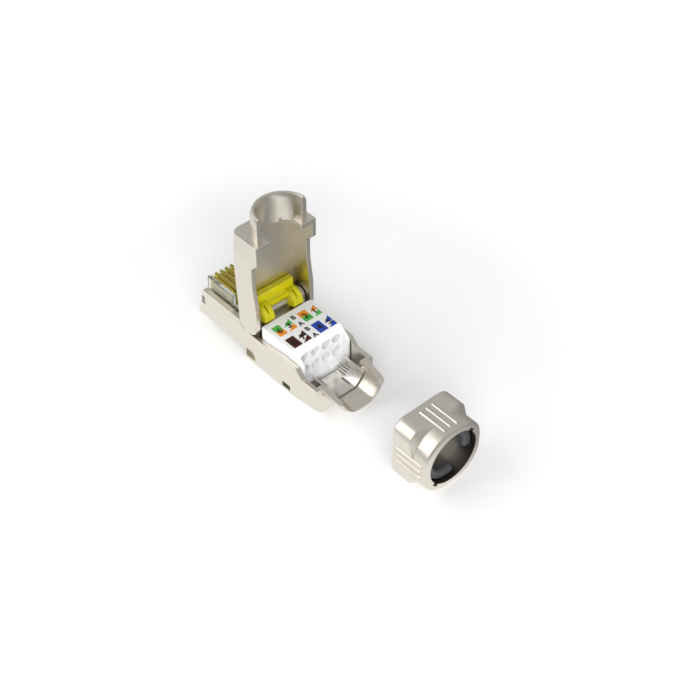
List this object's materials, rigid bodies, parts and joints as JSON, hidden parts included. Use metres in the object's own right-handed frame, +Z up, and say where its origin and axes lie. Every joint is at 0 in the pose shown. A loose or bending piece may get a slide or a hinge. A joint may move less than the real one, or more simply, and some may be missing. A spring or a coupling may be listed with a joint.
{
  "type": "field termination ethernet plug",
  "caption": "Shielded modular network plug for wiring by hand, with a hinged die-cast lid, a colour coded wire block, a latch lever and a separate locking collar.",
  "frame": {"origin": "middle of the flat underside of the housing's foot", "axes": "+X from the nose towards the cable, +Y across the plug, +Z up from the surface it stands on"},
  "size_m": [0.0529, 0.0116, 0.0291],
  "materials": {
    "die_cast_nickel": "satin",
    "spring_nickel": "bright",
    "pin_steel": "satin",
    "yellow_plastic": "clear yellow",
    "clear_plastic": "clear",
    "gold_plating": "bright",
    "tinned_bronze": "satin",
    "green_laminate": "matt",
    "white_plastic": "satin",
    "black_plastic": "satin"
  },
  "bodies": {
    "housing": {"lower_housing": "die_cast_nickel", "plug_nose": "clear_plastic", "contact_block": "yellow_plastic", "plug_contact_1": "gold_plating", "plug_contact_2": "gold_plating", "plug_contact_3": "gold_plating", "plug_contact_4": "gold_plating", "plug_contact_5": "gold_plating", "plug_contact_6": "gold_plating", "plug_contact_7": "gold_plating", "plug_contact_8": "gold_plating", "circuit_board": "green_laminate", "contact_carrier": "black_plastic", "wire_contact_1": "tinned_bronze", "wire_contact_2": "tinned_bronze", "wire_contact_3": "tinned_bronze", "wire_contact_4": "tinned_bronze", "wire_contact_5": "tinned_bronze", "wire_contact_6": "tinned_bronze", "wire_contact_7": "tinned_bronze", "wire_contact_8": "tinned_bronze", "wire_manager": "white_plastic", "shield_clip": "spring_nickel"},
    "lid": {"lid": "die_cast_nickel", "hinge_pin": "pin_steel", "press_bar": "yellow_plastic"},
    "latch": {"latch_lever": "yellow_plastic"},
    "collar": {"locking_collar": "die_cast_nickel", "collar_jaw_upper": "black_plastic", "collar_jaw_lower": "black_plastic"}
  },
  "joints": [
    {"name": "lid_hinge", "type": "hinge", "parent": "housing", "child": "lid", "pos_m": [-0.00421, 0, 0.0085], "axis": [0, 1, 0], "range_deg": [0, 90]},
    {"name": "latch_flex", "type": "hinge", "parent": "housing", "child": "latch", "pos_m": [-0.01671, 0, 0.0026], "axis": [0, -1, 0], "range_deg": [0, 7], "stiffness_Nm_per_rad": 0.03},
    {"name": "collar_slide", "type": "slide", "parent": "housing", "child": "collar", "axis": [-1, 0, 0], "range_m": [0, 0.0161]}
  ]
}
